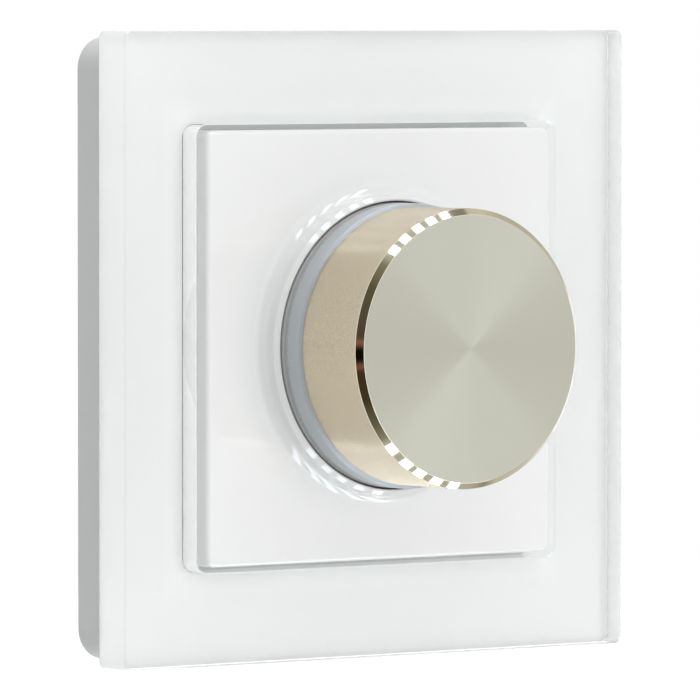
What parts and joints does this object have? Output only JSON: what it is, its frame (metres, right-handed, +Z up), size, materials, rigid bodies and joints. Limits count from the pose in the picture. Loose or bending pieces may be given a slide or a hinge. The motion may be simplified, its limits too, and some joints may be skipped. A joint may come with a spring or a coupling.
{
  "type": "rotary dimmer switch",
  "caption": "Flush rotary push dimmer: square glass frame, glossy cover plate with a raised collar, and an aluminium knob that turns without end and presses in.",
  "frame": {"origin": "middle of the wall plane, where the carrier and the steel support plate lie on the wall", "axes": "+X to the right as the user sees it, +Z up, the front looks along -Y and the insert reaches into the wall along +Y"},
  "size_m": [0.08, 0.0524, 0.08],
  "materials": {
    "clear_glass": "polished, white-painted back",
    "carrier_plastic": "fine matt moulding",
    "cover_plastic": "glossy moulding",
    "ring_plastic": "frosted translucent",
    "champagne_aluminium": "turned and brushed, bright bevel",
    "hub_plastic": "matt moulding",
    "spring_steel": "bright",
    "shaft_steel": "turned",
    "nickel_brass": "nickel plated",
    "zinc_steel": "zinc plated",
    "housing_plastic": "matt moulding",
    "board_laminate": "solder resist",
    "encoder_plastic": "matt moulding",
    "rotor_plastic": "smooth moulding",
    "terminal_plastic": "matt moulding",
    "clamp_brass": "plain",
    "power_resin": "moulded resin",
    "sink_aluminium": "plain sheet",
    "capacitor_plastic": "boxed",
    "fuse_plastic": "moulded",
    "choke_ferrite": "sintered",
    "winding_copper": "enamelled",
    "tape_foam": "closed-cell foam",
    "lamp_resin": "clear resin"
  },
  "bodies": {
    "root": {"glass_frame": "clear_glass", "bonding_tape": "tape_foam", "frame_carrier": "carrier_plastic", "cover_plate": "cover_plastic", "encoder_bushing": "nickel_brass", "bushing_nut": "nickel_brass", "lock_washer": "spring_steel", "lamp_board": "board_laminate", "ring_lamps": "lamp_resin", "support_plate": "zinc_steel", "housing_front": "housing_plastic", "housing_rear": "housing_plastic", "housing_screws": "zinc_steel", "circuit_board": "board_laminate", "encoder_body": "encoder_plastic", "detent_spring": "spring_steel", "contact_dome": "spring_steel", "terminal_block": "terminal_plastic", "terminal_clamps": "clamp_brass", "terminal_screws": "zinc_steel", "heat_sink": "sink_aluminium", "power_transistors": "power_resin", "capacitor": "capacitor_plastic", "fuse": "fuse_plastic", "choke_core": "choke_ferrite", "choke_winding": "winding_copper"},
    "rotor": {"encoder_rotor": "rotor_plastic"},
    "knob": {"knob_cap": "champagne_aluminium", "knob_hub": "hub_plastic", "hub_clip": "spring_steel", "light_ring": "ring_plastic", "encoder_shaft": "shaft_steel", "switch_actuator": "rotor_plastic"}
  },
  "joints": [
    {"name": "knob_turn", "type": "hinge", "parent": "root", "child": "rotor", "pos_m": [0, 0, 0], "axis": [0, 1, 0], "continuous": true},
    {"name": "knob_press", "type": "slide", "parent": "rotor", "child": "knob", "axis": [0, 1, 0], "range_m": [0, 0.001], "stiffness_N_per_m": 1500, "springref_m": -0.001, "deforming": ["contact_dome"]}
  ]
}
